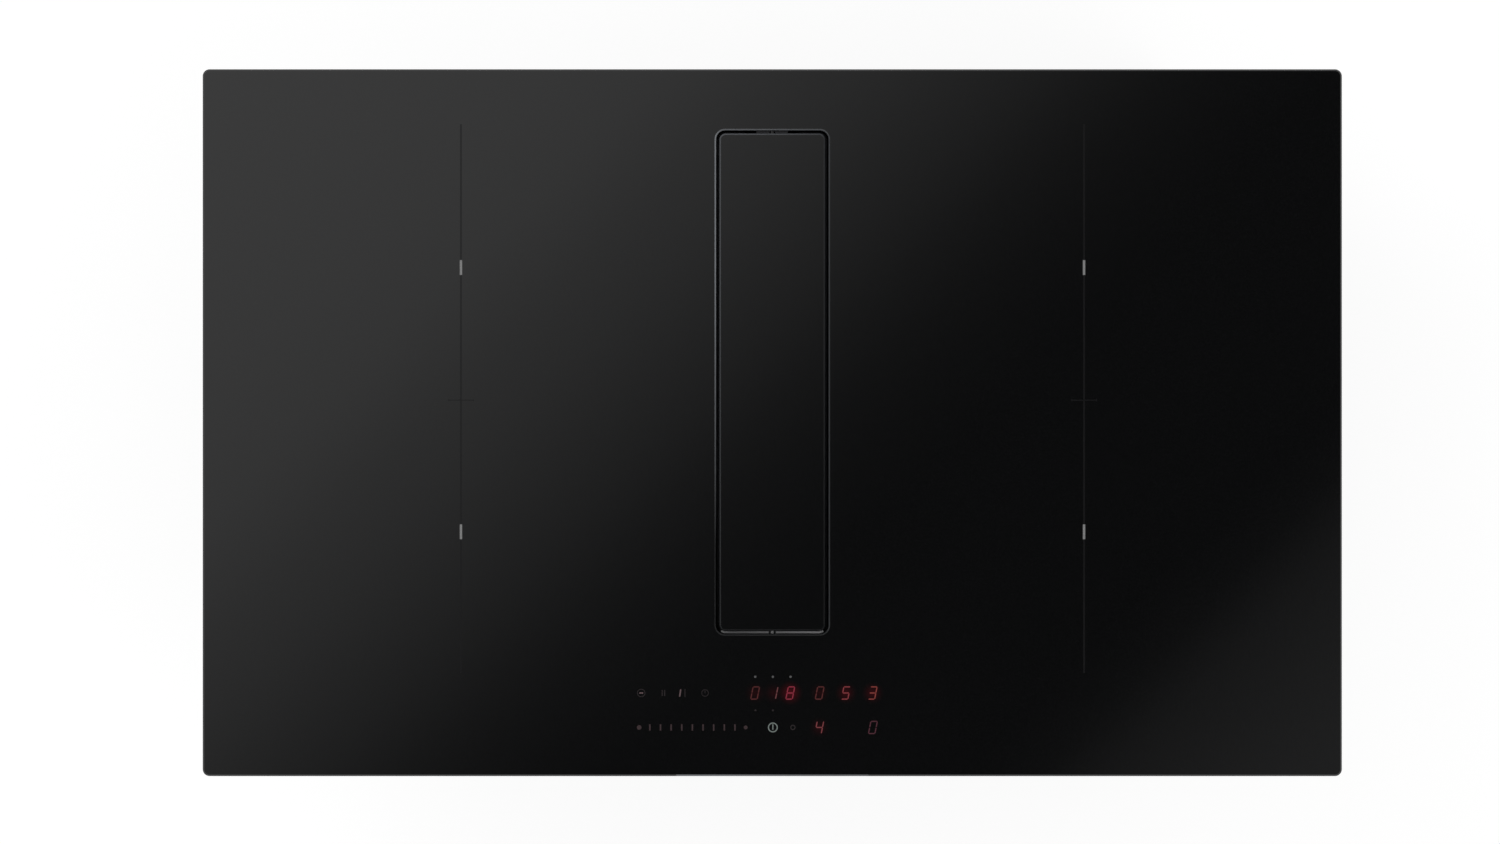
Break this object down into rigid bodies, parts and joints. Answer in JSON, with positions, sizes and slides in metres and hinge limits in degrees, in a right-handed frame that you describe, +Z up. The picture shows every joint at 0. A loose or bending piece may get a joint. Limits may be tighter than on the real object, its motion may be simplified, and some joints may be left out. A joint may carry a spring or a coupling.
{
  "type": "downdraft induction cooktop",
  "caption": "Black glass induction cooktop with a central extractor slot under a tilting glass flap, a lift-out grease filter, a blower below and a slide-out drip tank.",
  "frame": {"origin": "on the underside of the lower housing, straight under the centre of the glass plate", "axes": "+X to the user's right along the plate's long side, +Y to the back of the worktop, +Z up out of the glass"},
  "size_m": [0.83, 0.515, 0.212],
  "materials": {
    "black_glass": "gloss",
    "foam_seal": "matte",
    "black_plastic": "satin",
    "galvanised_steel": "satin",
    "spring_steel": "satin",
    "screw_steel": "satin",
    "stainless_steel": "satin",
    "bearing_steel": "polished",
    "core_steel": "matte",
    "aluminium": "satin",
    "black_anodised": "satin",
    "brass": "satin",
    "copper_wire": "satin",
    "ferrite": "matte",
    "mica": "satin",
    "sensor_ceramic": "matte",
    "circuit_board": "satin",
    "capacitor_sleeve": "gloss",
    "display_plastic": "satin",
    "touch_foam": "matte",
    "terminal_plastic": "satin",
    "carbon_filter": "matte",
    "rubber": "matte"
  },
  "bodies": {
    "root": {"board_spacers": "brass", "cable_gland": "black_plastic", "carrier_springs": "spring_steel", "ceramic_glass": "black_glass", "coil_carrier_left": "aluminium", "coil_carrier_right": "aluminium", "coil_front_left": "copper_wire", "coil_front_right": "copper_wire", "coil_rear_left": "copper_wire", "coil_rear_right": "copper_wire", "coil_sensors": "sensor_ceramic", "control_board": "circuit_board", "control_frame": "black_plastic", "cooling_fan_frame_left": "black_plastic", "cooling_fan_frame_right": "black_plastic", "display_modules": "display_plastic", "ferrite_bars": "ferrite", "filter_cradle": "black_plastic", "filter_shaft": "black_plastic", "heat_sink_left": "aluminium", "heat_sink_right": "aluminium", "hob_casing": "galvanised_steel", "housing_screws": "screw_steel", "inlet_collar": "black_plastic", "inverter_board_left": "circuit_board", "inverter_board_right": "circuit_board", "mica_sheets": "mica", "motor_base": "aluminium", "motor_bearings": "bearing_steel", "odour_filter_left": "carbon_filter", "odour_filter_right": "carbon_filter", "outlet_spigot": "black_plastic", "plenum_housing": "black_plastic", "plenum_lid": "black_plastic", "power_capacitors": "capacitor_sleeve", "scroll_feet": "rubber", "scroll_lower": "black_plastic", "scroll_upper": "black_plastic", "stator_core": "core_steel", "terminal_block": "terminal_plastic", "terminal_box": "black_plastic", "terminal_cover": "black_plastic", "touch_pads": "touch_foam", "worktop_clips": "spring_steel", "worktop_seal": "foam_seal"},
    "filter_cassette": {"cassette_frame": "black_anodised", "cassette_base": "black_anodised", "grease_panel_left": "stainless_steel", "grease_panel_right": "stainless_steel", "filter_handle": "stainless_steel"},
    "flap": {"flap_glass": "black_glass", "flap_carrier": "black_anodised", "flap_pins": "stainless_steel"},
    "drip_tank": {"drip_tank": "black_plastic", "drip_tank_front": "black_plastic"},
    "blower_wheel": {"impeller": "black_plastic", "rotor_cup": "screw_steel", "motor_shaft": "bearing_steel"},
    "left_fan_rotor": {"cooling_fan_rotor_left": "black_plastic"},
    "right_fan_rotor": {"cooling_fan_rotor_right": "black_plastic"}
  },
  "joints": [
    {"name": "cassette_lift", "type": "slide", "parent": "root", "child": "filter_cassette", "axis": [0, 0, 1], "range_m": [0, 0.15]},
    {"name": "flap_tilt", "type": "hinge", "parent": "filter_cassette", "child": "flap", "pos_m": [0, 0.0295, 0.2045], "axis": [0, 1, 0], "range_deg": [-90, 90]},
    {"name": "drip_tank_slide", "type": "slide", "parent": "root", "child": "drip_tank", "axis": [0, -1, 0], "range_m": [0, 0.385]},
    {"name": "blower_spin", "type": "hinge", "parent": "root", "child": "blower_wheel", "pos_m": [0.194, -0.02, 0.04], "axis": [0, 0, 1], "continuous": true},
    {"name": "left_fan_spin", "type": "hinge", "parent": "root", "child": "left_fan_rotor", "pos_m": [-0.3, -0.196, 0.162], "axis": [0, 0, 1], "continuous": true},
    {"name": "right_fan_spin", "type": "hinge", "parent": "root", "child": "right_fan_rotor", "pos_m": [0.3, -0.196, 0.162], "axis": [0, 0, 1], "continuous": true}
  ]
}
